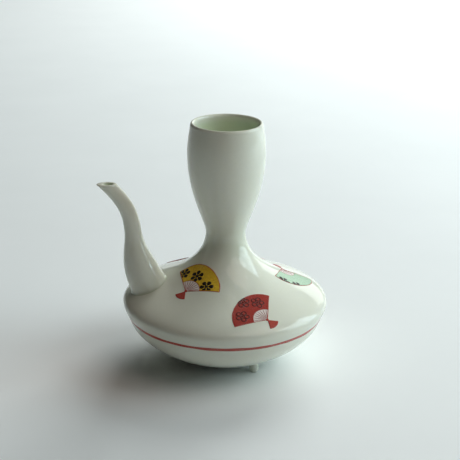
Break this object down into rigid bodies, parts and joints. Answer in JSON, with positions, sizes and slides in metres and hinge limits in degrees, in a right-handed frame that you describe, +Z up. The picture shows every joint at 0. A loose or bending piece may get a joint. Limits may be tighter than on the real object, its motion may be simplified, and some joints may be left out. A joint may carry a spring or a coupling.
{
  "type": "spouted sake bottle",
  "caption": "Glazed porcelain sake bottle with a flattened round body, a cup-shaped open neck, a curved pouring spout, small peg feet and painted folding fans.",
  "frame": {"origin": "centre of the plane that the three feet stand on, on the axis of the body and neck", "axes": "+Z up along the axis of the body and neck; -X towards the spout; +Y completes the right-handed set"},
  "size_m": [0.1341, 0.12, 0.143],
  "materials": {
    "porcelain": "clear glossy glaze with a faint celadon cast",
    "iron_red": "glossy iron-red overglaze enamel",
    "yellow_enamel": "glossy yellow overglaze enamel with black blossoms",
    "red_enamel": "glossy red overglaze enamel with darker blossoms",
    "green_enamel": "glossy green overglaze enamel with dark strokes",
    "pale_enamel": "pale pink wash with fine red lines"
  },
  "bodies": {
    "root": {"lower_bowl": "porcelain", "shoulder": "porcelain", "neck": "porcelain", "spout": "porcelain", "foot_spout_side": "porcelain", "foot_right": "porcelain", "foot_left": "porcelain", "belly_line": "iron_red", "yellow_fan_leaf": "yellow_enamel", "yellow_fan_sticks": "pale_enamel", "yellow_fan_guard": "iron_red", "red_fan_leaf": "red_enamel", "red_fan_sticks": "pale_enamel", "red_fan_guard": "iron_red", "green_fan_leaf": "green_enamel", "green_fan_sticks": "pale_enamel", "green_fan_guard": "iron_red", "back_yellow_fan_leaf": "yellow_enamel", "back_yellow_fan_sticks": "pale_enamel", "back_yellow_fan_guard": "iron_red", "back_red_fan_leaf": "red_enamel", "back_red_fan_sticks": "pale_enamel", "back_red_fan_guard": "iron_red"}
  },
  "joints": []
}
